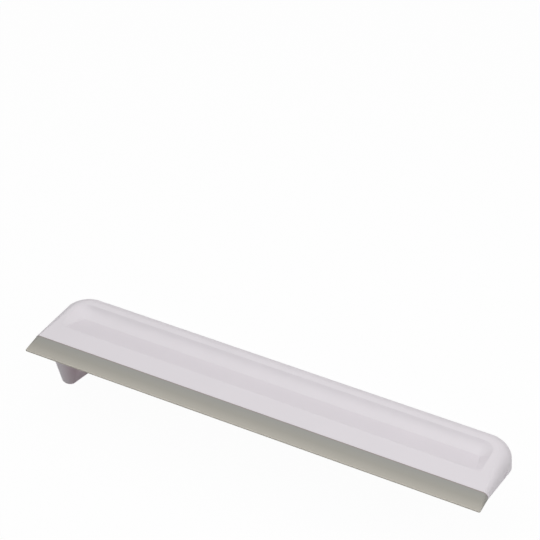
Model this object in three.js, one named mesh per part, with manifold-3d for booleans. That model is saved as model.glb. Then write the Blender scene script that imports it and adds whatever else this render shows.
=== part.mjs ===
// One-hand shower squeegee: a wedge-shaped hollow body with a sloping finger recess, a silicone blade
// along its front edge, and a tapered hook under the left end that hangs it on a screen or rail.
// Millimetres, +Z up, +X to the right along the blade, +Y from the blade to the back.
// While it is modelled, y = 0 is the seam between body and blade and z = 0 is the level top.
// The finished assembly stands with its origin under the middle of its box.

import * as THREE from 'three';
import { mergeVertices } from 'three/addons/utils/BufferGeometryUtils.js';
import Module from 'manifold-3d';

// Body: the top is level, the underside falls towards the back
const LENGTH = 240;
const BODY_DEPTH = 41.5;
const SEAM_THICKNESS = 3.75;
const BACK_THICKNESS = 16.2;
const CORNER_RADIUS = 13.7;
const WALL_DRAFT = THREE.MathUtils.degToRad(3);
const ROLL_FRONT = 3;
const ROLL_BACK = 9.3;
const ROLL_START = THREE.MathUtils.degToRad(18);

// Shell walls
const END_WALL = 2.4;
const RIM_WALL = 1.5;
const TOP_WALL = 1.8;
const JAW_THICKNESS = 1.25;

// Finger recess: a floor that falls to its crease, then a cove up to the rim
const RECESS_FRONT = 11.4;
const RECESS_CREASE = 22.9;
const RECESS_BACK = 31.3;
const RECESS_END_MARGIN = 8.6;
const RECESS_DEPTH = 2.4;
const RECESS_END_COVE = 4.6;
const RECESS_BACK_RADIUS = 6;
const RECESS_FRONT_RADIUS = 3.5;
const RECESS_FRONT_COVE = 2.6;
const RECESS_INNER_RADIUS = 1.6;
const RECESS_COVE_SINK = 0.1;
const RECESS_COVE_POWER = 2.8;

// Blade
const BLADE_REACH = 9.8;
const LIP_DROP = 3.25;
const LIP_THICKNESS = 0.75;
const LIP_END_ROUND = 0.25;
const LIP_CORNER_RADIUS = 0.7;
const BLADE_END_STEP = 0.1;
const FLANGE_THICKNESS = 1.1;
const BEAD_WIDTH = 1.6;
const BEAD_HEIGHT = 1.9;

// Pegs that the blade's flange hangs on
const PEG_RADIUS = 1.5;
const PEG_LENGTH = 2.4;
const PEG_LINE = 4.4;
const PEG_PITCH = 26;
const PEG_END_MARGIN = 10;

// Underside cover
const COVER_THICKNESS = 1.8;
const CLAMP_DEPTH = 7.6;
const RIB_THICKNESS = 1.6;
const RIB_PITCH = 40;

// End latches
const LATCH_LINE = 22.9;
const LATCH_DROP = 8;
const LATCH_WIDTH = 4;
const LATCH_TOOTH = 0.5;
const LATCH_TONGUE = 1.3;
const LATCH_INSET = 1.2;

// Hook: its tip runs parallel to the underside
const HOOK_FROM_END = 11.2;
const HOOK_FRONT = 9.7;
const HOOK_BACK = 29.5;
const HOOK_HEIGHT = 28.9;
const HOOK_TIP_RADIUS = 3.15;
const HOOK_TIP_ROUND = 1.9;
const HOOK_TAPER = THREE.MathUtils.degToRad(12);
const HOOK_WALL = 2.2;

// Clearances
const SEAT_GAP = 0.25;
const PEG_GAP = 0.2;
const BLADE_GAP = 0.1;

// Facets
const CORNER_STEPS = 12;
const ROLL_STEPS = 8;
const COVE_STEPS = 8;
const ROUND_STEPS = 24;
const TIP_STEPS = 5;

// Length by which cutting tools reach past what they cut, and joined solids into each other
const OVERRUN = 1;
const EMBED = 0.6;

const HALF_LENGTH = LENGTH / 2;
const UNDER_SLOPE = (BACK_THICKNESS - SEAM_THICKNESS) / BODY_DEPTH;
const thicknessAt = (y) => SEAM_THICKNESS + UNDER_SLOPE * y;
const rollAt = (y) => THREE.MathUtils.lerp(ROLL_FRONT, ROLL_BACK, y / BODY_DEPTH);

// Levels of the blade's clamp, from the top down
const FLANGE_TOP = -JAW_THICKNESS - BLADE_GAP;
const FLANGE_BOTTOM = FLANGE_TOP - FLANGE_THICKNESS;
const CLAMP_TOP = FLANGE_BOTTOM - BLADE_GAP;
const BEAD_FRONT = CLAMP_DEPTH + SEAT_GAP;
const BEAD_BACK = BEAD_FRONT + BEAD_WIDTH;
const HOLLOW_FRONT = BEAD_BACK + SEAT_GAP;
const SLOT_HALF = HALF_LENGTH - END_WALL - SEAT_GAP;

const wasm = await Module();
wasm.setup();

function toSolid(geometry) {
  const bare = geometry.clone();
  bare.deleteAttribute('normal');
  bare.deleteAttribute('uv');
  const merged = mergeVertices(bare);
  return new wasm.Manifold(new wasm.Mesh({
    numProp: 3,
    vertProperties: new Float32Array(merged.getAttribute('position').array),
    triVerts: new Uint32Array(merged.index.array),
  }));
}

function toGeometry(solid) {
  const mesh = solid.getMesh();
  const geometry = new THREE.BufferGeometry();
  geometry.setAttribute('position', new THREE.BufferAttribute(new Float32Array(mesh.vertProperties), 3));
  geometry.setIndex(new THREE.BufferAttribute(new Uint32Array(mesh.triVerts), 1));
  return geometry;
}

// Closed solid skinned over a stack of rings. Each ring runs anticlockwise seen from above, with as many
// points as the others, and the first and last rings are flat.
function skin(rings) {
  const count = rings[0].length;
  const last = (rings.length - 1) * count;
  const points = rings.flat();
  const index = [];
  for (let start = 0; start < last; start += count) {
    for (let i = 0; i < count; i += 1) {
      const a = start + i;
      const b = start + ((i + 1) % count);
      index.push(a, b, b + count, a, b + count, a + count);
    }
  }
  const plan = (ring) => ring.map((point) => new THREE.Vector2(point.x, point.y));
  for (const [a, b, c] of THREE.ShapeUtils.triangulateShape(plan(rings[0]), [])) index.push(c, b, a);
  for (const [a, b, c] of THREE.ShapeUtils.triangulateShape(plan(rings.at(-1)), [])) {
    index.push(last + a, last + b, last + c);
  }
  const geometry = new THREE.BufferGeometry().setFromPoints(points);
  geometry.setIndex(index);
  return toSolid(geometry);
}

function block(low, high) {
  const size = high.clone().sub(low);
  const geometry = new THREE.BoxGeometry(size.x, size.y, size.z);
  geometry.translate((low.x + high.x) / 2, (low.y + high.y) / 2, (low.z + high.z) / 2);
  return toSolid(geometry);
}

// Prism of a side view, given as [y, z] corners, between two places along the length
function prism(corners, fromX, toX) {
  const shape = new THREE.Shape(corners.map(([y, z]) => new THREE.Vector2(y, z)));
  const geometry = new THREE.ExtrudeGeometry(shape, { depth: toX - fromX, bevelEnabled: false });
  const along = new THREE.Matrix4().makeBasis(
    new THREE.Vector3(0, 1, 0),
    new THREE.Vector3(0, 0, 1),
    new THREE.Vector3(1, 0, 0),
  );
  geometry.applyMatrix4(along);
  geometry.translate(fromX, 0, 0);
  return toSolid(geometry);
}

function post(x, y, radius, bottom, top) {
  const geometry = new THREE.CylinderGeometry(radius, radius, top - bottom, ROUND_STEPS);
  geometry.rotateX(Math.PI / 2);
  geometry.translate(x, y, (bottom + top) / 2);
  return toSolid(geometry);
}

// Places along the length, evenly spaced about the middle, that stay within a half span
function spread(halfSpan, pitch) {
  const each = Math.floor(halfSpan / pitch);
  return Array.from({ length: 2 * each + 1 }, (_, i) => (i - each) * pitch);
}

// The body's outline at its lower edge, from the front of the right end round the back to the left end:
// each station has its place and the outward direction there
function outlineStations(front) {
  const stations = [{ x: HALF_LENGTH, y: front, nx: 1, ny: 0 }];
  for (const side of [1, -1]) {
    for (let i = 0; i <= CORNER_STEPS; i += 1) {
      const share = side > 0 ? i : CORNER_STEPS - i;
      const angle = (share / CORNER_STEPS) * (Math.PI / 2);
      const nx = side * Math.cos(angle);
      const ny = Math.sin(angle);
      stations.push({
        x: side * (HALF_LENGTH - CORNER_RADIUS) + CORNER_RADIUS * nx,
        y: BODY_DEPTH - CORNER_RADIUS + CORNER_RADIUS * ny,
        nx,
        ny,
      });
    }
  }
  stations.push({ x: -HALF_LENGTH, y: front, nx: -1, ny: 0 });
  return stations;
}

const inward = (station, offset) => ({
  x: station.x - station.nx * offset,
  y: station.y - station.ny * offset,
});

// The body's form: drafted walls that roll over and meet the level top in a crisp edge. With an inset and a
// top wall it is the hollow inside those walls, and below tells how far it reaches past the underside.
function bodyForm({ inset = 0, top = 0, front = 0, below = 0 }) {
  const stations = outlineStations(front);
  const rings = [stations.map((station) => {
    const { x, y } = inward(station, inset);
    return new THREE.Vector3(x, y, -thicknessAt(y) - below);
  })];
  const sweep = Math.PI / 2 - WALL_DRAFT;
  for (let step = ROLL_STEPS; step >= 0; step -= 1) {
    const turn = THREE.MathUtils.lerp(ROLL_START, sweep, step / ROLL_STEPS);
    rings.push(stations.map((station) => {
      const roll = Math.max(rollAt(station.y) - inset, top / 2);
      const fall = (angle) => roll * (Math.cos(ROLL_START) - Math.cos(angle));
      const wall = thicknessAt(station.y) - top - fall(sweep);
      const wallTop = inset + wall * Math.tan(WALL_DRAFT);
      const { x, y } = inward(station, wallTop + roll * (Math.sin(sweep) - Math.sin(turn)));
      return new THREE.Vector3(x, y, -top - fall(turn));
    }));
  }
  return skin(rings);
}

// Slab that lies along the underside, between two heights above it
function undersideSlab(inset, front, bottom, top) {
  const stations = outlineStations(front);
  return skin([bottom, top].map((height) => stations.map((station) => {
    const { x, y } = inward(station, inset);
    return new THREE.Vector3(x, y, height - thicknessAt(y));
  })));
}

// Rectangle with round corners, anticlockwise from its right front corner
function roundedLoop(halfLength, front, back, frontRadius, backRadius) {
  const corners = [
    { x: halfLength - frontRadius, y: front + frontRadius, radius: frontRadius, start: -Math.PI / 2 },
    { x: halfLength - backRadius, y: back - backRadius, radius: backRadius, start: 0 },
    { x: -halfLength + backRadius, y: back - backRadius, radius: backRadius, start: Math.PI / 2 },
    { x: -halfLength + frontRadius, y: front + frontRadius, radius: frontRadius, start: Math.PI },
  ];
  return corners.flatMap(({ x, y, radius, start }) => Array.from({ length: CORNER_STEPS + 1 }, (_, i) => {
    const angle = start + (i / CORNER_STEPS) * (Math.PI / 2);
    return new THREE.Vector2(x + radius * Math.cos(angle), y + radius * Math.sin(angle));
  }));
}

// Space of the finger recess. Grown by a wall, it is the recess with its backing.
function recessForm(grow) {
  const halfLength = HALF_LENGTH - RECESS_END_MARGIN;
  const depth = RECESS_DEPTH + RECESS_COVE_SINK + grow;
  const sinkShare = (RECESS_COVE_SINK / (RECESS_DEPTH + RECESS_COVE_SINK)) ** (1 / RECESS_COVE_POWER);
  const coveBottom = (RECESS_CREASE - sinkShare * RECESS_BACK) / (1 - sinkShare);
  const rim = roundedLoop(
    halfLength + grow,
    RECESS_FRONT - grow,
    RECESS_BACK + grow,
    RECESS_FRONT_RADIUS + grow,
    RECESS_BACK_RADIUS + grow,
  );
  const bottom = roundedLoop(
    halfLength - RECESS_END_COVE,
    RECESS_FRONT + RECESS_FRONT_COVE,
    coveBottom,
    RECESS_INNER_RADIUS,
    RECESS_INNER_RADIUS,
  );
  const rings = Array.from({ length: COVE_STEPS + 1 }, (_, step) => {
    const share = step / COVE_STEPS;
    return bottom.map((point, i) => {
      const { x, y } = point.clone().lerp(rim[i], share);
      return new THREE.Vector3(x, y, -depth * (1 - share ** RECESS_COVE_POWER));
    });
  });
  rings.push(rim.map(({ x, y }) => new THREE.Vector3(x, y, OVERRUN)));
  const floorFall = RECESS_DEPTH / (RECESS_CREASE - RECESS_FRONT);
  const back = RECESS_BACK + grow + OVERRUN;
  const aboveFloor = prism([
    [RECESS_FRONT - grow, -grow],
    [RECESS_FRONT, -grow],
    [back, -grow - floorFall * (back - RECESS_FRONT)],
    [back, 2 * OVERRUN],
    [RECESS_FRONT - grow, 2 * OVERRUN],
  ], -HALF_LENGTH, HALF_LENGTH);
  return skin(rings).intersect(aboveFloor);
}

// Slot through an end wall, or the latch tooth that fills it, on the side given as 1 or -1
function latchBar(side, innerX, outerX, gap) {
  const ends = [side * innerX, side * outerX];
  const halfWidth = LATCH_WIDTH / 2 + gap;
  const halfTooth = LATCH_TOOTH / 2 + gap;
  return block(
    new THREE.Vector3(Math.min(...ends), LATCH_LINE - halfWidth, -LATCH_DROP - halfTooth),
    new THREE.Vector3(Math.max(...ends), LATCH_LINE + halfWidth, -LATCH_DROP + halfTooth),
  );
}

const pegPlaces = spread(SLOT_HALF - PEG_END_MARGIN, PEG_PITCH);

function topShell() {
  const hollow = bodyForm({ inset: END_WALL, top: TOP_WALL, front: HOLLOW_FRONT, below: OVERRUN });
  const coverSeat = undersideSlab(RIM_WALL, -OVERRUN, -OVERRUN, COVER_THICKNESS + SEAT_GAP);
  const bladeSlot = block(
    new THREE.Vector3(-SLOT_HALF, -OVERRUN, -thicknessAt(HOLLOW_FRONT) - OVERRUN),
    new THREE.Vector3(SLOT_HALF, HOLLOW_FRONT + OVERRUN, -JAW_THICKNESS),
  );
  let shell = bodyForm({})
    .subtract(hollow.subtract(recessForm(TOP_WALL)))
    .subtract(coverSeat)
    .subtract(bladeSlot.subtract(recessForm(TOP_WALL)))
    .subtract(recessForm(0));
  for (const side of [1, -1]) {
    shell = shell.subtract(latchBar(side, HALF_LENGTH - END_WALL - OVERRUN, HALF_LENGTH + OVERRUN, PEG_GAP));
  }
  for (const x of pegPlaces) {
    shell = shell.add(post(x, PEG_LINE, PEG_RADIUS, -JAW_THICKNESS - PEG_LENGTH, -JAW_THICKNESS + EMBED));
  }
  return shell;
}

// Ring of the hook's stadium section, lying parallel to the underside at a height above the tip
function stadiumRing(radius, front, back, height) {
  const centreX = HOOK_FROM_END - HALF_LENGTH;
  return Array.from({ length: 2 * ROUND_STEPS + 2 }, (_, i) => {
    const atBack = i <= ROUND_STEPS;
    const angle = Math.PI * (atBack ? i / ROUND_STEPS : (i - 1) / ROUND_STEPS);
    const y = (atBack ? back : front) + radius * Math.sin(angle);
    return new THREE.Vector3(centreX + radius * Math.cos(angle), y, height - HOOK_HEIGHT - thicknessAt(y));
  });
}

const hookRadius = (height) => HOOK_TIP_RADIUS + height * Math.tan(HOOK_TAPER);

function hookForm() {
  const rings = [];
  for (let step = 0; step <= TIP_STEPS; step += 1) {
    const turn = (step / TIP_STEPS) * (Math.PI / 2);
    const height = HOOK_TIP_ROUND * (1 - Math.cos(turn));
    const radius = hookRadius(height) - HOOK_TIP_ROUND * (1 - Math.sin(turn));
    rings.push(stadiumRing(radius, HOOK_FRONT, HOOK_BACK, height));
  }
  const root = HOOK_HEIGHT + EMBED;
  rings.push(stadiumRing(hookRadius(root), HOOK_FRONT, HOOK_BACK, root));
  return skin(rings);
}

// The hook's hollow opens into the body, behind the blade's bead
function hookHollow() {
  const top = HOOK_HEIGHT + COVER_THICKNESS + OVERRUN;
  return skin([HOOK_WALL, top].map((height) => {
    const radius = hookRadius(height) - HOOK_WALL / Math.cos(HOOK_TAPER);
    return stadiumRing(radius, Math.max(HOOK_FRONT, HOLLOW_FRONT + radius), HOOK_BACK, height);
  }));
}

function undersideCover() {
  const inset = RIM_WALL + SEAT_GAP;
  const embedLine = (y) => COVER_THICKNESS - EMBED - thicknessAt(y);
  const landHalf = SLOT_HALF - SEAT_GAP;
  const land = prism([
    [0, embedLine(0)],
    [CLAMP_DEPTH, embedLine(CLAMP_DEPTH)],
    [CLAMP_DEPTH, CLAMP_TOP],
    [0, CLAMP_TOP],
  ], -landHalf, landHalf);
  const flangeRoom = block(
    new THREE.Vector3(-LENGTH, -OVERRUN, CLAMP_TOP),
    new THREE.Vector3(LENGTH, CLAMP_DEPTH, OVERRUN),
  );
  const edge = undersideSlab(inset, 0, -HOOK_HEIGHT - OVERRUN, COVER_THICKNESS);
  let cover = undersideSlab(inset, 0, 0, COVER_THICKNESS)
    .add(hookForm().intersect(edge))
    .subtract(hookHollow())
    .subtract(flangeRoom)
    .add(land);

  const ribTop = -RECESS_DEPTH - TOP_WALL - SEAT_GAP;
  const hookInside = HOOK_FROM_END + hookRadius(HOOK_HEIGHT);
  const ribFront = HOLLOW_FRONT + SEAT_GAP;
  for (const x of spread(HALF_LENGTH - hookInside - RIB_THICKNESS, RIB_PITCH)) {
    cover = cover.add(prism([
      [ribFront, embedLine(ribFront)],
      [RECESS_BACK, embedLine(RECESS_BACK)],
      [RECESS_BACK, ribTop],
      [ribFront, ribTop],
    ], x - RIB_THICKNESS / 2, x + RIB_THICKNESS / 2));
  }

  const tongueOut = HALF_LENGTH - END_WALL - BACK_THICKNESS * Math.tan(WALL_DRAFT) / 2 - SEAT_GAP;
  for (const side of [1, -1]) {
    const tongueX = [side * tongueOut, side * (tongueOut - LATCH_TONGUE)];
    const tongueTop = LATCH_TOOTH + LATCH_TONGUE - LATCH_DROP;
    const front = LATCH_LINE - LATCH_WIDTH / 2;
    const back = LATCH_LINE + LATCH_WIDTH / 2;
    const tongue = prism([
      [front, embedLine(front)],
      [back, embedLine(back)],
      [back, tongueTop],
      [front, tongueTop],
    ], Math.min(...tongueX), Math.max(...tongueX));
    cover = cover.add(tongue).add(latchBar(side, tongueOut - EMBED, HALF_LENGTH - LATCH_INSET, 0));
  }

  const socketBottom = -JAW_THICKNESS - PEG_LENGTH - SEAT_GAP;
  for (const x of pegPlaces) {
    cover = cover.subtract(post(x, PEG_LINE, PEG_RADIUS + PEG_GAP, socketBottom, CLAMP_TOP + OVERRUN));
  }
  return cover;
}

// End view of the blade at one distance in front of the seam: a bar whose top corners are round
function bladeRing(halfLength, top, bottom, round, distance) {
  const corner = (side) => Array.from({ length: ROLL_STEPS + 1 }, (_, i) => {
    const turn = ((side > 0 ? i : ROLL_STEPS - i) / ROLL_STEPS) * (Math.PI / 2);
    const x = side * (halfLength - round + round * Math.cos(turn));
    return new THREE.Vector3(x, top - round + round * Math.sin(turn), distance);
  });
  return [
    new THREE.Vector3(-halfLength, bottom, distance),
    new THREE.Vector3(halfLength, bottom, distance),
    ...corner(1),
    ...corner(-1),
  ];
}

function wiperBlade() {
  const lipTop = LIP_THICKNESS - LIP_DROP;
  const rings = [bladeRing(HALF_LENGTH - BLADE_END_STEP, 0, -SEAM_THICKNESS, ROLL_FRONT, BLADE_GAP)];
  for (let step = 0; step <= TIP_STEPS; step += 1) {
    const turn = (step / TIP_STEPS) * (Math.PI / 2);
    const halfLength = HALF_LENGTH - LIP_CORNER_RADIUS * (1 - Math.cos(turn));
    const distance = BLADE_REACH - LIP_CORNER_RADIUS * (1 - Math.sin(turn));
    rings.push(bladeRing(halfLength, lipTop, -LIP_DROP, LIP_END_ROUND, distance));
  }
  const lip = skin(rings);
  const flangeHalf = SLOT_HALF - SEAT_GAP;
  const flange = prism([
    [-EMBED - BLADE_GAP, FLANGE_BOTTOM],
    [BEAD_FRONT, FLANGE_BOTTOM],
    [BEAD_FRONT, FLANGE_TOP - BEAD_HEIGHT],
    [BEAD_BACK, FLANGE_TOP - BEAD_HEIGHT],
    [BEAD_BACK, FLANGE_TOP],
    [-EMBED - BLADE_GAP, FLANGE_TOP],
  ], -flangeHalf, flangeHalf);
  const upright = toSolid(toGeometry(lip).rotateX(Math.PI / 2));
  let blade = upright.add(flange);
  for (const x of pegPlaces) {
    blade = blade.subtract(post(x, PEG_LINE, PEG_RADIUS + PEG_GAP, FLANGE_BOTTOM - OVERRUN, 0));
  }
  return blade;
}

function piece(name, solid, color, roughness) {
  const material = new THREE.MeshStandardMaterial({ color, roughness, metalness: 0, flatShading: true });
  const mesh = new THREE.Mesh(toGeometry(solid), material);
  mesh.name = name;
  return mesh;
}

const squeegee = new THREE.Group();
squeegee.name = 'shower_squeegee';
squeegee.add(
  piece('top_shell', topShell(), 0xe3dfe3, 0.42),
  piece('underside_cover', undersideCover(), 0xe1dde1, 0.5),
  piece('wiper_blade', wiperBlade(), 0xa5a39b, 0.55),
);

const box = new THREE.Box3().setFromObject(squeegee);
squeegee.position.set(0, -(box.min.y + box.max.y) / 2, -box.min.z);

export default squeegee;
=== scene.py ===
from math import acos, cos, pi, radians, sin, tan

import bmesh
import bpy
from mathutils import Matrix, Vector


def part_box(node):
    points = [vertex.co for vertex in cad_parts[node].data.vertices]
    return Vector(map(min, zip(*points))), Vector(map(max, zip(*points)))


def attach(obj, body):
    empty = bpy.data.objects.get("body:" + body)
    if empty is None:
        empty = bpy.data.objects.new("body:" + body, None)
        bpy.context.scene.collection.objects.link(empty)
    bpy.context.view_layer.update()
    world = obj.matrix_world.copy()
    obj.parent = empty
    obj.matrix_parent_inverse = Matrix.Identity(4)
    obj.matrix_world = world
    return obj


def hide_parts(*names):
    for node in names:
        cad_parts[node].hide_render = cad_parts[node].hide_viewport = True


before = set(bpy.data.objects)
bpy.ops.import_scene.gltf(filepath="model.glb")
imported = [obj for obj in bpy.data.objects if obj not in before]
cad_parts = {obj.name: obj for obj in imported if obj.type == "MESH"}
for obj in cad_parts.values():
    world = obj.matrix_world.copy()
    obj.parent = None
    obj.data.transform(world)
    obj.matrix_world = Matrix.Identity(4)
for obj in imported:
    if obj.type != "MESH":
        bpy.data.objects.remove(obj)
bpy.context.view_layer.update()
shell_low, shell_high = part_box("top_shell")

# Lengths are in millimetres, laid out from the middle of the seam at the level of the top
MM = 0.001
SEAM = shell_low.y
TOP = shell_high.z
NEAR = 0.02
PLACE_DIGITS = 7
SMOOTH_ANGLE = radians(30)
FACE_WEIGHT = 80

# Body
HALF_LENGTH = 120.0
BODY_DEPTH = 41.5
SEAM_THICKNESS = 3.75
UNDER_SLOPE = 0.3
CORNER_RADIUS = 13.7
CORNER_STEPS = 20
WALL_DRAFT = radians(3)
ROLL_FRONT = 3.0
ROLL_BACK = 9.3
ROLL_START = radians(18)
ROLL_END = pi / 2 - WALL_DRAFT
ROLL_STEPS = 20
BACK_ROLL = 8.7
BACK_ROLL_START = radians(9)
END_LINE = 3.0
END_CUTS = 12
FOOT_FRONT_ROUND = 0.3
FOOT_BACK_ROUND = 1.0
FOOT_STEPS = 5
SEAM_ROUND = 0.3
SEAM_ROUND_STEPS = 2
FACING_FRONT = -0.99

# Finger recess
RECESS_HALF = 111.4
RECESS_FRONT = 11.4
RECESS_BACK = 31.3
RECESS_CREASE = 22.9
RECESS_DEPTH = 2.4
RIM_FRONT_RADIUS = 3.5
RIM_BACK_RADIUS = 6.0
RIM_ROUND = 0.35
RIM_ROUND_STEPS = 3
RIM_LEFT_REACH = 1.5
FLOOR_FRONT_HALF = 109.2
FLOOR_BACK_HALF = 106.6
FLOOR_FRONT = 11.9
FLOOR_FRONT_RADIUS = 2.4
FLOOR_BACK_RADIUS = 2.5
FLAT_MARGIN = 0.5
CREASE_SPAN = 1.2
COVE_STEPS = 9
COVE_POWER = 3.1
END_POWER = 2.2

# Seat of the cover, and the latch windows in the end walls
RIM_WALL = 1.5
SEAT_DEPTH = 2.05
SEAT_FRONT = 0.4
SEAT_GAP = 0.25
WINDOW_LINE = 22.9
WINDOW_DROP = 8.0
WINDOW_WIDTH = 4.4
WINDOW_HEIGHT = 0.9
WINDOW_FLOOR = 117.9
WINDOW_OVERRUN = 1.0
WINDOW_ROUND = 0.3
WINDOW_ROUND_STEPS = 3
TOOTH_WIDTH = 4.0
TOOTH_HEIGHT = 0.5
TOOTH_FACE = 118.8

# Cover and hook; the fillet at the hook's root is given as depths below the plate and reaches
COVER_THICKNESS = 1.8
COVER_ROUND = 0.3
HOOK_X = -108.8
HOOK_FRONT = 9.7
HOOK_BACK = 29.5
HOOK_HEIGHT = 28.9
HOOK_TIP_RADIUS = 3.15
HOOK_TIP_ROUND = 1.9
HOOK_TAPER = radians(12)
HOOK_CORNER_SHARE = 0.98
HOOK_FILLET = ((0, 1.1), (0.12, 0.7), (0.4, 0.35), (0.8, 0.12), (1.4, 0))
HOOK_STEPS = 16
TIP_STEPS = 6

# Blade
BLADE_REACH = 9.8
BLADE_GAP = 0.1
BLADE_END_STEP = 0.1
BLADE_STEPS = 10
LIP_DROP = 3.25
LIP_THICKNESS = 0.75
LIP_CORNER_RADIUS = 0.7
LIP_CORNER_STEPS = 3
LIP_EDGE_ROUND = 0.12
LIP_EDGE_STEPS = 2
LIP_END_ROUND = 0.25

# Moulded surfaces
GRAIN_DETAIL = 3.0
MOTTLE_DETAIL = 2.0
MOTTLE_RANGE = (0.3, 0.7)
GLOSS_SPREAD = 0.04
SPECULAR = 0.3
PLASTIC_GRAIN = {"Grain Scale": 2600, "Mottle Scale": 45}
PLASTIC_BUMP = {"Strength": 0.06, "Distance": 0.0002}
SILICONE_GRAIN = {"Grain Scale": 1400, "Mottle Scale": 70}
SILICONE_BUMP = {"Strength": 0.08, "Distance": 0.0003}

# White plastics; painted shade darkens the recess floor and, tinted warm, the hook's inner flank
SHELL_LIGHT = (0.79, 0.75, 0.785)
SHELL_DARK = (0.76, 0.725, 0.757)
SHELL_ROUGHNESS = 0.58
# The cover is the shell's plastic painted lighter: painted light on the hook, which stands in the body's
# shade
COVER_LIGHT = (0.89, 0.83, 0.865)
COVER_DARK = (0.85, 0.795, 0.83)
COVER_ROUGHNESS = 0.6
# Painted shade on the recess floor and on the slope at its right end
FLOOR_PAINTED_SHADE = (0.972, 0.963, 0.97)
FLOOR_SHADE_BLUR = 0.3
FLOOR_SHADE_SPREAD = 0.6
# Painted shade, tinted warm, on the hook's inner flank in the body's shade
HOOK_PAINTED_SHADE = (0.7, 0.59, 0.625)
HOOK_PAINTED_SPAN = (-109.5, -103.0)
HOOK_PAINTED_FADE = (1.5, 9.0)

# Silicone from the seam to the lip, lighter as it gets thinner: painted light for light through the
# silicone, painted shade at the seam and painted light on the lip's front face
SILICONE_ROUGHNESS = 0.55
SILICONE_AND_PAINTED_LIGHT_STOPS = (
    # Painted shade in the seam between blade and shell
    (0.0, (0.345, 0.28, 0.262)),
    (0.07, (0.35, 0.347, 0.325)),
    (0.5, (0.385, 0.37, 0.33)),
    (0.97, (0.5, 0.475, 0.42)),
    # Painted light on the lip's front face
    (1.0, (0.68, 0.64, 0.57)),
)

# Studio, in metres; the camera's place is counted from the seam at the level of the top
STUDIO_SIZE = 8
STUDIO_WHITE = (0.8, 0.8, 0.8, 1)
STUDIO_ROUGHNESS = 0.9
STUDIO_SPECULAR = 0.1
STUDIO_GLOW = 0.97
STUDIO_AIR = 0.02
STUDIO_SKY = 1.0
FLOOR_RAYS = ("Is Camera Ray", "Is Glossy Ray", "Is Transmission Ray")
SKY_RAYS = ("Is Camera Ray", "Is Transmission Ray")
SOFTBOXES = (
    ("top_softbox", (0.16, 0.02, 0.62), (0.16, 0.02, 0.04), (1.5, 1.0), 7.5),
    ("right_softbox", (0.9, -0.15, 0.25), (0.1, 0, 0.04), (0.45, 0.3), 0.49),
)
CAMERA_SENSOR = 36
CAMERA_LENS = 135.53
CAMERA_PLACE = (0.322465, -0.616093, 0.662828)
CAMERA_DOWN = radians(39.675)
CAMERA_TURN = radians(26.935)


def place(x, y, z):
    return Vector((x * MM, SEAM + y * MM, TOP + z * MM))


def thickness_at(y):
    return SEAM_THICKNESS + UNDER_SLOPE * y


def both_ends(front, back):
    """The four corners of a loop, from the two at its right end."""
    return [place(*front), place(*back), place(-back[0], *back[1:]), place(-front[0], *front[1:])]


# Modelling by hand

def clear_selection():
    if bpy.context.mode != "OBJECT":
        bpy.ops.object.mode_set(mode="OBJECT")
    bpy.ops.object.select_all(action="DESELECT")


def key(point):
    return tuple(round(value, PLACE_DIGITS) for value in point)


def ring_of(points):
    return {key(point) for point in points}


def runs_along(edge, ring):
    return all(key(vertex.co) in ring for vertex in edge.verts)


def pick(piece, kind, test):
    """Selects the points, edges or faces of the piece in edit mode that pass the test."""
    bpy.ops.mesh.select_mode(type=kind)
    bpy.ops.mesh.select_all(action="DESELECT")
    mesh = bmesh.from_edit_mesh(piece.data)
    parts = {"VERT": mesh.verts, "EDGE": mesh.edges, "FACE": mesh.faces}
    for part in parts[kind]:
        part.select_set(test(part))
    mesh.select_flush_mode()
    bmesh.update_edit_mesh(piece.data)


def pick_points(piece, wanted):
    """Selects the points that lie at one of the wanted places."""
    places = ring_of(wanted)
    pick(piece, "VERT", lambda vertex: key(vertex.co) in places)


def pick_between(piece, points):
    """Selects the edges that run between the points."""
    ring = ring_of(points)
    pick(piece, "EDGE", lambda edge: runs_along(edge, ring))


def pick_open(piece, *loops):
    """Selects the open edges that run along one of the loops."""
    rings = [ring_of(loop) for loop in loops]

    def is_wanted(edge):
        return len(edge.link_faces) < 2 and any(runs_along(edge, ring) for ring in rings)
    pick(piece, "EDGE", is_wanted)


def picked_points(piece):
    return [vertex.co.copy() for vertex in bmesh.from_edit_mesh(piece.data).verts if vertex.select]


def is_end_line(edge):
    """Test for the straight lines of a loop that run from front to back."""
    span = edge.verts[0].co - edge.verts[1].co
    return abs(span.y) > max(abs(span.x), END_LINE * MM)


def lay_loop(piece, corners, rounds, steps, cuts=0):
    """Lays a plane, moves its four corners to their places, rounds them and opens it into a loop."""
    bpy.ops.mesh.select_all(action="DESELECT")
    bpy.ops.mesh.primitive_plane_add(size=2 * MM)
    homes = [Vector((x, y, 0)) for x, y in ((MM, -MM), (MM, MM), (-MM, MM), (-MM, -MM))]
    for home, corner in zip(homes, corners):
        pick_points(piece, [home])
        bpy.ops.transform.translate(value=corner - home)
    for size in sorted(set(rounds) - {0}):
        pick_points(piece, [corner for corner, own in zip(corners, rounds) if own == size])
        bpy.ops.mesh.bevel(offset=size * MM, segments=steps, affect="VERTICES", clamp_overlap=False)
    mesh = bmesh.from_edit_mesh(piece.data)
    lone = next(face for face in mesh.faces if all(len(edge.link_faces) == 1 for edge in face.edges))
    points = [vertex.co.copy() for vertex in lone.verts]
    ring = ring_of(points)
    pick(piece, "FACE", lambda face: ring_of(vertex.co for vertex in face.verts) == ring)
    bpy.ops.mesh.delete(type="ONLY_FACE")
    if cuts:
        pick(piece, "EDGE", lambda edge: is_end_line(edge) and runs_along(edge, ring))
        bpy.ops.mesh.subdivide(number_cuts=cuts)
        points.extend(picked_points(piece))
    return points


def skin_loops(piece, loops):
    """Joins each loop to the next with faces."""
    for first, second in zip(loops, loops[1:]):
        pick_open(piece, first, second)
        bpy.ops.mesh.bridge_edge_loops()


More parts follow.
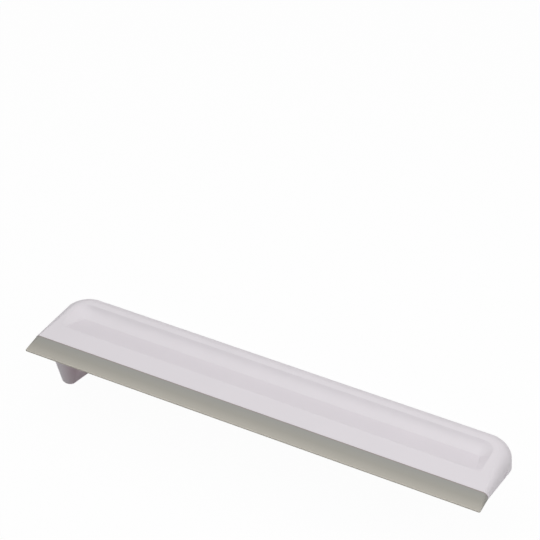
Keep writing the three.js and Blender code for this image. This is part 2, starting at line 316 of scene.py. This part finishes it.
def close_loop(piece, loop):
    pick_open(piece, loop)
    bpy.ops.mesh.edge_face_add()


def fill_between(piece, outer, inner):
    """Closes the flat land between two loops."""
    pick_open(piece, outer, inner)
    bpy.ops.mesh.fill(use_beauty=True)


def start_piece(name):
    """A new empty piece in edit mode."""
    clear_selection()
    bpy.ops.mesh.primitive_plane_add(size=2 * MM)
    piece = bpy.context.object
    piece.name = name
    piece.data.name = name
    bpy.ops.object.mode_set(mode="EDIT")
    bpy.ops.mesh.delete(type="VERT")
    return piece


def turn_outwards():
    """Turns all faces of the piece in edit mode outwards, and leaves edit mode."""
    bpy.ops.mesh.select_all(action="SELECT")
    bpy.ops.mesh.normals_make_consistent(inside=False)
    bpy.ops.object.mode_set(mode="OBJECT")


def finish_piece(piece):
    """Shades the piece smooth, apart from its sharp edges."""
    bpy.ops.object.shade_smooth_by_angle(angle=SMOOTH_ANGLE)
    even = piece.modifiers.new("even_shading", "WEIGHTED_NORMAL")
    even.keep_sharp = True
    even.weight = FACE_WEIGHT
    bpy.ops.object.modifier_apply(modifier=even.name)


# Top shell

def body_loop(piece, front, back, rounding):
    """A loop round the body, square at the seam and rounded at the back."""
    return lay_loop(piece, both_ends(front, back), (0, rounding, rounding, 0), CORNER_STEPS, END_CUTS)


def outline_loop(piece, inset, height, front):
    """The body's outline on the plane of the underside, set in and raised."""
    side = HALF_LENGTH - inset
    back = BODY_DEPTH - inset
    at_front = (side, front, height - thickness_at(front))
    at_back = (side, back, height - thickness_at(back))
    return body_loop(piece, at_front, at_back, CORNER_RADIUS - inset)


def foot_loop(piece, turn):
    """One line of the rounded lower edge, from the underside to the wall; it grows with the wedge."""
    inwards = 1 - sin(turn)
    upwards = 1 - cos(turn)
    inset = FOOT_BACK_ROUND * inwards
    back = BODY_DEPTH - inset
    at_front = (HALF_LENGTH - FOOT_FRONT_ROUND * inwards, 0, FOOT_FRONT_ROUND * upwards - SEAM_THICKNESS)
    at_back = (HALF_LENGTH - inset, back, FOOT_BACK_ROUND * upwards - thickness_at(back))
    return body_loop(piece, at_front, at_back, CORNER_RADIUS - inset)


def roll_inset(thickness, roll, start, turn):
    """Distance inside the outline at which a rolled edge has turned so far from the level top."""
    wall = thickness - roll * (cos(start) - cos(ROLL_END))
    return wall * tan(WALL_DRAFT) + roll * (sin(ROLL_END) - sin(turn))


def roll_loop(piece, turn):
    """One line of the rolled edge round the ends and the back, from the wall to the level top."""
    thickness = thickness_at(BODY_DEPTH)
    fall = cos(ROLL_START) - cos(turn)
    back_fall = ROLL_BACK * fall
    back_turn = acos(cos(BACK_ROLL_START) - back_fall / BACK_ROLL)
    front_x = HALF_LENGTH - roll_inset(SEAM_THICKNESS, ROLL_FRONT, ROLL_START, turn)
    back_x = HALF_LENGTH - roll_inset(thickness, ROLL_BACK, ROLL_START, turn)
    back = BODY_DEPTH - roll_inset(thickness, BACK_ROLL, BACK_ROLL_START, back_turn)
    at_front = (front_x, 0, -ROLL_FRONT * fall)
    at_back = (back_x, back, -back_fall)
    return body_loop(piece, at_front, at_back, CORNER_RADIUS - HALF_LENGTH + back_x)


def recess_loop(piece, share, margin=0):
    """One line of the cove, from the floor's edge (share 0) to the rim (share 1).

    At the left end the rim lies a little further out than at the right.
    """
    def between(floor, rim, part=share):
        return floor + (rim - floor) * part

    endwards = share ** END_POWER
    fall = RECESS_DEPTH / (RECESS_CREASE - RECESS_FRONT)
    rise = 1 - share ** COVE_POWER
    left = RIM_LEFT_REACH * endwards
    front_x = between(FLOOR_FRONT_HALF, RECESS_HALF, endwards) + margin
    back_x = between(FLOOR_BACK_HALF, RECESS_HALF, endwards) + margin
    front = (between(FLOOR_FRONT, RECESS_FRONT) - margin, -fall * (FLOOR_FRONT - RECESS_FRONT) * rise)
    back = (between(RECESS_CREASE, RECESS_BACK) + margin, -RECESS_DEPTH * rise)
    corners = (
        place(front_x, *front),
        place(back_x, *back),
        place(-back_x - left, *back),
        place(-front_x - left, *front),
    )
    at_front = between(FLOOR_FRONT_RADIUS, RIM_FRONT_RADIUS) + margin
    at_back = between(FLOOR_BACK_RADIUS, RIM_BACK_RADIUS) + margin
    return lay_loop(piece, corners, (at_front, at_back, at_back, at_front), CORNER_STEPS, END_CUTS)


def cut_window(piece, side):
    """Cuts the latch window into one end wall."""
    clear_selection()
    outside = HALF_LENGTH + WINDOW_OVERRUN
    middle = place(side * (WINDOW_FLOOR + outside) / 2, WINDOW_LINE, -WINDOW_DROP)
    bpy.ops.mesh.primitive_cube_add(size=1, location=middle)
    cutter = bpy.context.object
    cutter.scale = Vector((outside - WINDOW_FLOOR, WINDOW_WIDTH, WINDOW_HEIGHT)) * MM
    bpy.ops.object.transform_apply(location=True, rotation=False, scale=True)
    bpy.ops.object.mode_set(mode="EDIT")
    pick(cutter, "EDGE", lambda edge: abs(edge.verts[0].co.x - edge.verts[1].co.x) > MM)
    bpy.ops.mesh.bevel(offset=WINDOW_ROUND * MM, segments=WINDOW_ROUND_STEPS)
    clear_selection()
    piece.select_set(True)
    bpy.context.view_layer.objects.active = piece
    cut = piece.modifiers.new("window", "BOOLEAN")
    cut.operation = "DIFFERENCE"
    cut.object = cutter
    cut.solver = "MANIFOLD"
    bpy.ops.object.modifier_apply(modifier=cut.name)
    bpy.data.objects.remove(cutter)


def is_seam_face(face):
    in_plane = abs(face.calc_center_median().y - SEAM) < NEAR * MM
    return in_plane and face.normal.y < FACING_FRONT


def model_top_shell():
    piece = start_piece("shell_skin")

    # Seat of the cover, lower edge, walls and roll
    walls = [
        outline_loop(piece, RIM_WALL, SEAT_DEPTH, SEAT_FRONT),
        outline_loop(piece, RIM_WALL, 0, SEAT_FRONT),
    ]
    for step in range(FOOT_STEPS + 1):
        walls.append(foot_loop(piece, step / FOOT_STEPS * pi / 2))
    for step in range(ROLL_STEPS, -1, -1):
        walls.append(roll_loop(piece, ROLL_START + step / ROLL_STEPS * (ROLL_END - ROLL_START)))
    skin_loops(piece, walls)
    close_loop(piece, walls[0])

    # Finger recess with its cove and floor
    rim = recess_loop(piece, 1)
    recess = [recess_loop(piece, 1, FLAT_MARGIN), rim]
    for step in range(COVE_STEPS - 1, -1, -1):
        recess.append(recess_loop(piece, step / COVE_STEPS))
    skin_loops(piece, recess)
    close_loop(piece, recess[-1])
    bpy.ops.mesh.inset(thickness=FLAT_MARGIN * MM)
    fill_between(piece, walls[-1], recess[0])

    # Crisp edge of the roll, crisp crease, soft rim
    crease = SEAM + (RECESS_CREASE - CREASE_SPAN) * MM
    pick_between(piece, walls[-1] + [point for point in recess[-1] if point.y > crease])
    bpy.ops.mesh.mark_sharp()
    pick_between(piece, rim)
    bpy.ops.mesh.bevel(offset=RIM_ROUND * MM, segments=RIM_ROUND_STEPS)

    # One face at the seam, with its upper edge broken
    pick(piece, "FACE", is_seam_face)
    bpy.ops.mesh.dissolve_faces()
    low = TOP - (SEAM_THICKNESS - FOOT_FRONT_ROUND + NEAR) * MM
    pick_between(piece, [point for point in picked_points(piece) if point.z > low])
    bpy.ops.mesh.bevel(offset=SEAM_ROUND * MM, segments=SEAM_ROUND_STEPS)

    turn_outwards()
    for side in (1, -1):
        cut_window(piece, side)
    finish_piece(piece)
    return piece


# Underside cover with its hook

def hook_radius(height):
    return HOOK_TIP_RADIUS + height * tan(HOOK_TAPER)


def hook_loop(piece, height, radius, slack=0):
    """Outline of the hook at a height above its tip, parallel to the underside."""
    left = HOOK_X - radius
    right = HOOK_X + radius + slack
    front = HOOK_FRONT - radius
    back = HOOK_BACK + radius + slack
    corners = []
    for x, y in ((right, front), (right, back), (left, back), (left, front)):
        corners.append(place(x, y, height - HOOK_HEIGHT - thickness_at(y)))
    return lay_loop(piece, corners, (HOOK_CORNER_SHARE * radius,) * 4, HOOK_STEPS)


def add_tooth(side):
    """Adds the latch tooth that stands in one window."""
    bpy.ops.mesh.select_all(action="DESELECT")
    middle = place(side * (TOOTH_FACE + WINDOW_FLOOR) / 2, WINDOW_LINE, -WINDOW_DROP)
    size = Vector((TOOTH_FACE - WINDOW_FLOOR, TOOTH_WIDTH, TOOTH_HEIGHT)) * MM
    bpy.ops.mesh.primitive_cube_add(size=1, location=middle)
    bpy.ops.transform.resize(value=size, center_override=middle)


def model_cover():
    piece = start_piece("cover_skin")
    inset = RIM_WALL + SEAT_GAP
    front = SEAT_FRONT + SEAT_GAP
    plate = [
        outline_loop(piece, inset, COVER_THICKNESS, front),
        outline_loop(piece, inset, COVER_ROUND, front),
        outline_loop(piece, inset + COVER_ROUND, 0, front + COVER_ROUND),
    ]
    skin_loops(piece, plate)
    close_loop(piece, plate[0])

    hook = []
    for drop, slack in HOOK_FILLET:
        height = HOOK_HEIGHT - drop
        hook.append(hook_loop(piece, height, hook_radius(height), slack))
    for step in range(TIP_STEPS, -1, -1):
        turn = step / TIP_STEPS * pi / 2
        height = HOOK_TIP_ROUND * (1 - cos(turn))
        hook.append(hook_loop(piece, height, hook_radius(height) - HOOK_TIP_ROUND * (1 - sin(turn))))
    skin_loops(piece, hook)
    close_loop(piece, hook[-1])
    fill_between(piece, plate[-1], hook[0])

    for side in (1, -1):
        add_tooth(side)
    turn_outwards()
    finish_piece(piece)
    return piece


# Wiper blade

def blade_loop(piece, half, top, bottom, distance, rounding):
    """End view of the blade at a distance in front of the seam."""
    corners = both_ends((half, -distance, bottom), (half, -distance, top))
    return lay_loop(piece, corners, (0, rounding, rounding, 0), BLADE_STEPS)


def model_blade():
    piece = start_piece("blade_skin")
    lip_top = LIP_THICKNESS - LIP_DROP
    loops = [blade_loop(piece, HALF_LENGTH - BLADE_END_STEP, 0, -SEAM_THICKNESS, BLADE_GAP, ROLL_FRONT)]
    for step in range(LIP_CORNER_STEPS + 1):
        turn = step / LIP_CORNER_STEPS * pi / 2
        half = HALF_LENGTH - LIP_CORNER_RADIUS * (1 - cos(turn))
        distance = BLADE_REACH - LIP_CORNER_RADIUS * (1 - sin(turn))
        loops.append(blade_loop(piece, half, lip_top, -LIP_DROP, distance, LIP_END_ROUND))
    skin_loops(piece, loops)
    close_loop(piece, loops[0])
    close_loop(piece, loops[-1])
    middle = TOP + (LIP_THICKNESS / 2 - LIP_DROP) * MM
    pick_between(piece, [point for point in loops[-1] if point.z > middle])
    bpy.ops.mesh.bevel(offset=LIP_EDGE_ROUND * MM, segments=LIP_EDGE_STEPS)
    turn_outwards()
    finish_piece(piece)
    return piece


# Finishes

def link(tree, source, target):
    tree.links.new(source, target)


def add_node(tree, kind, inputs=None, **settings):
    """A new node with its settings and the plain values of its inputs."""
    node = tree.nodes.new("ShaderNode" + kind)
    for name, value in settings.items():
        setattr(node, name, value)
    for name, value in (inputs or {}).items():
        node.inputs[name].default_value = value
    return node


def make_moulded_grain():
    """Fine grain of a moulded surface: a height for bump, and a slow mottle for colour and gloss."""
    group = bpy.data.node_groups.new("moulded_grain", "ShaderNodeTree")
    for name, way in (
        ("Grain Scale", "INPUT"),
        ("Mottle Scale", "INPUT"),
        ("Grain", "OUTPUT"),
        ("Mottle", "OUTPUT"),
    ):
        group.interface.new_socket(name, in_out=way, socket_type="NodeSocketFloat")
    start = group.nodes.new("NodeGroupInput")
    end = group.nodes.new("NodeGroupOutput")
    where = add_node(group, "TexCoord")
    for name, detail in (("Grain", GRAIN_DETAIL), ("Mottle", MOTTLE_DETAIL)):
        noise = add_node(group, "TexNoise", {"Detail": detail})
        link(group, where.outputs["Object"], noise.inputs["Vector"])
        link(group, start.outputs[name + " Scale"], noise.inputs["Scale"])
        link(group, noise.outputs["Fac"], end.inputs[name])
    return group


def make_finish(name, roughness, grain_values, bump_values):
    """A new material with grain as bump and gloss that follows the mottle; its colour comes later."""
    material = bpy.data.materials.new(name)
    material.use_nodes = True
    tree = material.node_tree
    shader = tree.nodes["Principled BSDF"]
    shader.inputs["Specular IOR Level"].default_value = SPECULAR
    grain = tree.nodes.new("ShaderNodeGroup")
    grain.node_tree = moulded_grain
    for socket, value in grain_values.items():
        grain.inputs[socket].default_value = value
    gloss = add_node(tree, "MapRange", {
        "From Min": MOTTLE_RANGE[0],
        "From Max": MOTTLE_RANGE[1],
        "To Min": roughness - GLOSS_SPREAD,
        "To Max": roughness + GLOSS_SPREAD,
    })
    link(tree, grain.outputs["Mottle"], gloss.inputs["Value"])
    link(tree, gloss.outputs["Result"], shader.inputs["Roughness"])
    bump = add_node(tree, "Bump", bump_values)
    link(tree, grain.outputs["Grain"], bump.inputs["Height"])
    link(tree, bump.outputs["Normal"], shader.inputs["Normal"])
    return material, shader, grain


def split_place(tree):
    """The place on the piece, as its X, Y and Z."""
    where = add_node(tree, "TexCoord")
    split = add_node(tree, "SeparateXYZ")
    link(tree, where.outputs["Object"], split.inputs["Vector"])
    return split.outputs


def mask_step(tree, value, start, end, shape="LINEAR"):
    """Mask that goes from 0 at the start to 1 at the end, both in millimetres."""
    limits = {"From Min": start * MM, "From Max": end * MM}
    step = add_node(tree, "MapRange", limits, interpolation_type=shape)
    link(tree, value, step.inputs["Value"])
    return step.outputs["Result"]


def mask_product(tree, first, second):
    both = add_node(tree, "Math", operation="MULTIPLY")
    link(tree, first, both.inputs[0])
    link(tree, second, both.inputs[1])
    return both.outputs["Value"]


def tone_base(tree, mask, tone):
    """Multiplies the base colour by a tone where the mask is."""
    base = tree.nodes["Principled BSDF"].inputs["Base Color"]
    mix = add_node(tree, "Mix", data_type="RGBA", blend_type="MULTIPLY")
    mix.inputs["B"].default_value = (*tone, 1)
    link(tree, mask, mix.inputs["Factor"])
    link(tree, base.links[0].from_socket, mix.inputs["A"])
    link(tree, mix.outputs["Result"], base)


def paint_floor_shade(material):
    """Painted shade on the recess floor, which tilts back from the light, and on the slope at its right
    end, which faces away from it.
    """
    tree = material.node_tree
    spot = split_place(tree)
    slant = (FLOOR_FRONT_HALF - FLOOR_BACK_HALF) / (RECESS_CREASE - FLOOR_FRONT)
    leftwards = add_node(tree, "Math", {1: -slant}, operation="MULTIPLY_ADD")
    link(tree, spot["Y"], leftwards.inputs[0])
    link(tree, spot["X"], leftwards.inputs[2])
    seam = SEAM / MM
    left = -FLOOR_FRONT_HALF - slant * (seam + FLOOR_FRONT) - FLOOR_SHADE_SPREAD
    front = seam + RECESS_FRONT
    crease = seam + RECESS_CREASE
    masks = []
    for value, limit, blur in (
        (leftwards.outputs["Value"], left, FLOOR_SHADE_BLUR),
        (spot["X"], RECESS_HALF, -FLOOR_SHADE_BLUR),
        (spot["Y"], front, FLOOR_SHADE_BLUR),
        (spot["Y"], crease, -FLOOR_SHADE_BLUR),
    ):
        masks.append(mask_step(tree, value, limit - blur, limit + blur, "SMOOTHSTEP"))
    inside = masks[0]
    for mask in masks[1:]:
        inside = mask_product(tree, inside, mask)
    tone_base(tree, inside, FLOOR_PAINTED_SHADE)


def paint_hook_shade(material):
    """Painted shade, tinted warm, on the hook's inner flank below the plate, where the body shades it.
    """
    tree = material.node_tree
    spot = split_place(tree)
    level = add_node(tree, "Math", {1: UNDER_SLOPE}, operation="MULTIPLY_ADD")
    link(tree, spot["Y"], level.inputs[0])
    link(tree, spot["Z"], level.inputs[2])
    plate = (TOP + UNDER_SLOPE * SEAM) / MM - SEAM_THICKNESS
    inner = mask_step(tree, spot["X"], *HOOK_PAINTED_SPAN)
    lower = mask_step(tree, level.outputs["Value"], plate - HOOK_PAINTED_FADE[0], plate - HOOK_PAINTED_FADE[1])
    tone_base(tree, mask_product(tree, inner, lower), HOOK_PAINTED_SHADE)


def make_white_plastic(name, light, dark, roughness):
    material, shader, grain = make_finish(name, roughness, PLASTIC_GRAIN, PLASTIC_BUMP)
    tree = material.node_tree
    tint = add_node(tree, "Mix", {"A": (*dark, 1), "B": (*light, 1)}, data_type="RGBA")
    link(tree, grain.outputs["Mottle"], tint.inputs["Factor"])
    link(tree, tint.outputs["Result"], shader.inputs["Base Color"])
    return material


def make_silicone():
    material, shader, _ = make_finish("grey_silicone", SILICONE_ROUGHNESS, SILICONE_GRAIN, SILICONE_BUMP)
    tree = material.node_tree
    seam = SEAM / MM
    thin = mask_step(tree, split_place(tree)["Y"], seam, seam - BLADE_REACH)
    # The ramp paints shade at the seam and light towards the lip
    ramp = add_node(tree, "ValToRGB")
    stops = ramp.color_ramp.elements
    stops[0].color = (*SILICONE_AND_PAINTED_LIGHT_STOPS[0][1], 1)
    stops[1].color = (*SILICONE_AND_PAINTED_LIGHT_STOPS[-1][1], 1)
    for position, colour in SILICONE_AND_PAINTED_LIGHT_STOPS[1:-1]:
        stops.new(position).color = (*colour, 1)
    link(tree, thin, ramp.inputs["Fac"])
    link(tree, ramp.outputs["Color"], shader.inputs["Base Color"])
    return material


def dress(piece, material, node):
    piece.data.materials.clear()
    piece.data.materials.append(material)
    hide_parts(node)
    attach(piece, "root")


# Studio

def is_seen(tree, rays):
    """1 for rays of these kinds, to which the background is white, and 0 for all others."""
    path = add_node(tree, "LightPath")
    seen = path.outputs[rays[0]]
    for ray in rays[1:]:
        either = add_node(tree, "Math", operation="MAXIMUM")
        link(tree, seen, either.inputs[0])
        link(tree, path.outputs[ray], either.inputs[1])
        seen = either.outputs["Value"]
    return seen


def make_floor():
    clear_selection()
    bpy.ops.mesh.primitive_plane_add(size=STUDIO_SIZE)
    floor = bpy.context.object
    floor.name = "studio_floor"
    material = bpy.data.materials.new("floor_white")
    material.use_nodes = True
    tree = material.node_tree
    shader = tree.nodes["Principled BSDF"]
    shader.inputs["Base Color"].default_value = STUDIO_WHITE
    shader.inputs["Roughness"].default_value = STUDIO_ROUGHNESS
    shader.inputs["Specular IOR Level"].default_value = STUDIO_SPECULAR
    glow = add_node(tree, "Emission")
    share = add_node(tree, "Math", {1: STUDIO_GLOW}, operation="MULTIPLY")
    link(tree, is_seen(tree, FLOOR_RAYS), share.inputs[0])
    mix = add_node(tree, "MixShader")
    link(tree, share.outputs["Value"], mix.inputs["Fac"])
    link(tree, shader.outputs["BSDF"], mix.inputs[1])
    link(tree, glow.outputs["Emission"], mix.inputs[2])
    link(tree, mix.outputs["Shader"], tree.nodes["Material Output"].inputs["Surface"])
    floor.data.materials.append(material)


def add_softbox(name, location, aim, size, energy):
    light = bpy.data.lights.new(name, "AREA")
    light.shape = "RECTANGLE"
    light.size = size[0]
    light.size_y = size[1]
    light.energy = energy
    lamp = bpy.data.objects.new(name, light)
    lamp.location = location
    lamp.rotation_euler = (Vector(aim) - Vector(location)).to_track_quat("-Z", "Y").to_euler()
    bpy.context.scene.collection.objects.link(lamp)


def set_world():
    """Faint light all round, which the camera sees as white above the floor's far edge."""
    world = bpy.data.worlds.new("studio")
    world.use_nodes = True
    tree = world.node_tree
    sky = tree.nodes["Background"]
    sky.inputs["Color"].default_value = (1, 1, 1, 1)
    level = add_node(tree, "MapRange", {"To Min": STUDIO_AIR, "To Max": STUDIO_SKY})
    link(tree, is_seen(tree, SKY_RAYS), level.inputs["Value"])
    link(tree, level.outputs["Result"], sky.inputs["Strength"])
    bpy.context.scene.world = world


def set_camera():
    view = bpy.data.cameras.new("photo_view")
    view.sensor_width = CAMERA_SENSOR
    view.lens = CAMERA_LENS
    camera = bpy.data.objects.new("photo_view", view)
    camera.location = Vector((0, SEAM, TOP)) + Vector(CAMERA_PLACE)
    camera.rotation_euler = (pi / 2 - CAMERA_DOWN, 0, CAMERA_TURN)
    bpy.context.scene.collection.objects.link(camera)
    bpy.context.scene.camera = camera


moulded_grain = make_moulded_grain()
shell_plastic = make_white_plastic("shell_plastic", SHELL_LIGHT, SHELL_DARK, SHELL_ROUGHNESS)
# Paints shade on the recess floor
paint_floor_shade(shell_plastic)
cover_plastic = make_white_plastic("cover_plastic", COVER_LIGHT, COVER_DARK, COVER_ROUGHNESS)
# Paints shade on the hook's inner flank
paint_hook_shade(cover_plastic)
silicone = make_silicone()

dress(model_top_shell(), shell_plastic, "top_shell")
dress(model_cover(), cover_plastic, "underside_cover")
dress(model_blade(), silicone, "wiper_blade")

make_floor()
for softbox in SOFTBOXES:
    add_softbox(*softbox)
set_world()
set_camera()
bpy.context.scene.view_settings.view_transform = "Standard"
